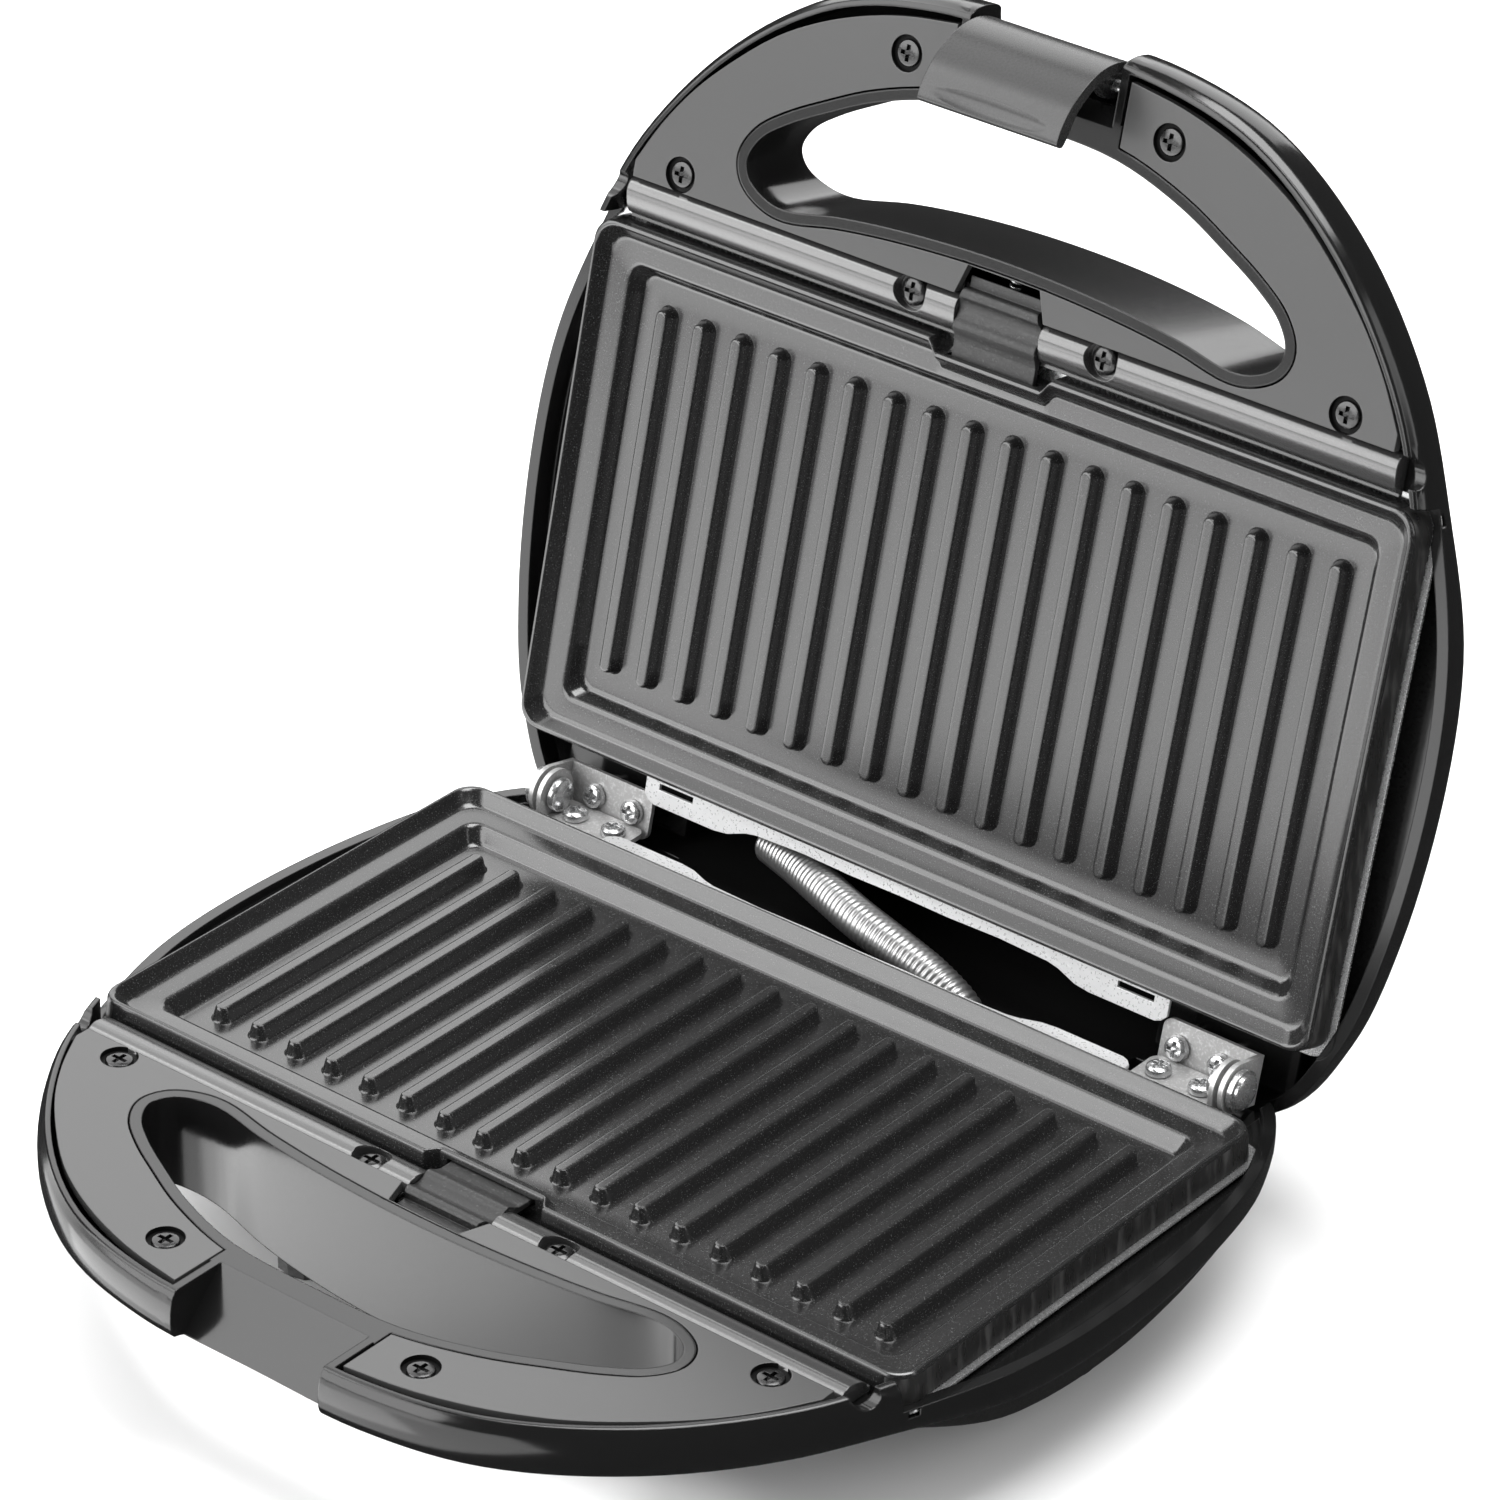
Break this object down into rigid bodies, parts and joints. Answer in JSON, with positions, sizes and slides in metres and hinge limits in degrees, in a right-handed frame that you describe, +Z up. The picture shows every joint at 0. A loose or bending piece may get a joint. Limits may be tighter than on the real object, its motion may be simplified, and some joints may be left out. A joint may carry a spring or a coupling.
{
  "type": "panini press",
  "caption": "Countertop panini press, open: ribbed grill plates in two rounded black halves with looped handles, rear hinge, latch and plate release clips.",
  "frame": {"origin": "middle of the footprint box, at the level of the feet's undersides", "axes": "+X to the user's right, +Y from the handle towards the hinge, +Z up; the lid is open and leans back"},
  "size_m": [0.2524, 0.2802, 0.244],
  "materials": {
    "gloss_black": "polished black moulding",
    "satin_grey": "satin grey moulding with a soft mirror sheen",
    "matte_black": "fine matte texture",
    "non_stick": "dark grey speckled non-stick coating on cast aluminium",
    "bright_steel": "bright plated steel",
    "dark_steel": "darkened steel screws",
    "bright_aluminium": "thin bright pressed sheet",
    "heater_steel": "heat-tinted steel tube",
    "ceramic_white": "off-white ceramic or heat-proof moulding",
    "rubber_black": "black rubber",
    "lens_red": "clear red lens",
    "lens_green": "clear green lens"
  },
  "bodies": {
    "base": {"base_handle_panel": "satin_grey", "base_rail": "gloss_black", "base_clip_spring": "bright_steel", "base_grill_plate": "non_stick", "base_heat_shield": "bright_aluminium", "base_heating_element": "heater_steel", "base_plate_retainer": "bright_aluminium", "base_panel_screw_1": "dark_steel", "base_panel_screw_2": "dark_steel", "base_panel_screw_3": "dark_steel", "base_panel_screw_4": "dark_steel", "base_rail_screw_1": "dark_steel", "base_rail_screw_2": "dark_steel", "base_hinge_bracket_left": "bright_steel", "base_hinge_screw_left_1": "bright_steel", "base_hinge_screw_left_2": "bright_steel", "base_hinge_bracket_right": "bright_steel", "base_hinge_screw_right_1": "bright_steel", "base_hinge_screw_right_2": "bright_steel", "base_housing": "gloss_black", "bottom_cover": "matte_black", "foot_front_left": "rubber_black", "foot_front_right": "rubber_black", "foot_rear_left": "rubber_black", "foot_rear_right": "rubber_black", "cord_inlet_bush": "rubber_black", "terminal_block": "ceramic_white", "thermal_fuse": "ceramic_white", "hinge_rivet_left": "bright_steel", "hinge_rivet_right": "bright_steel", "wire_conduit": "bright_steel"},
    "lid": {"lid_handle_panel": "satin_grey", "lid_rail": "gloss_black", "lid_clip_spring": "bright_steel", "lid_grill_plate": "non_stick", "lid_heat_shield": "bright_aluminium", "lid_heating_element": "heater_steel", "lid_plate_retainer": "bright_aluminium", "lid_panel_screw_1": "dark_steel", "lid_panel_screw_2": "dark_steel", "lid_panel_screw_3": "dark_steel", "lid_panel_screw_4": "dark_steel", "lid_rail_screw_1": "dark_steel", "lid_rail_screw_2": "dark_steel", "lid_hinge_bracket_left": "bright_steel", "lid_hinge_screw_left_1": "bright_steel", "lid_hinge_screw_left_2": "bright_steel", "lid_hinge_bracket_right": "bright_steel", "lid_hinge_screw_right_1": "bright_steel", "lid_hinge_screw_right_2": "bright_steel", "lid_housing": "gloss_black", "latch_pin": "bright_steel", "latch_spring": "bright_steel", "power_lens": "lens_red", "ready_lens": "lens_green", "thermostat": "ceramic_white"},
    "latch": {"latch": "gloss_black"},
    "base_clip": {"base_release_clip": "matte_black"},
    "lid_clip": {"lid_release_clip": "matte_black"}
  },
  "joints": [
    {"name": "lid_hinge", "type": "hinge", "parent": "base", "child": "lid", "pos_m": [0, 0.07132, 0.03944], "axis": [1, 0, 0], "range_deg": [0, 102.6], "deforming": ["wire_conduit"]},
    {"name": "latch_pivot", "type": "hinge", "parent": "lid", "child": "latch", "pos_m": [0, 0.12449, 0.23577], "axis": [-1, 0, 0], "range_deg": [0, 29], "deforming": ["latch_spring"]},
    {"name": "base_clip_slide", "type": "slide", "parent": "base", "child": "base_clip", "axis": [0, -1, 0], "range_m": [0, 0.003], "stiffness_N_per_m": 300, "springref_m": -0.003, "deforming": ["base_clip_spring"]},
    {"name": "lid_clip_slide", "type": "slide", "parent": "lid", "child": "lid_clip", "axis": [0, 0.2181, 0.9759], "range_m": [0, 0.003], "stiffness_N_per_m": 300, "springref_m": -0.003, "deforming": ["lid_clip_spring"]}
  ],
  "couplings": [
    {"joint": "latch_pivot", "follows": "lid_hinge", "ratio": 0.28}
  ]
}
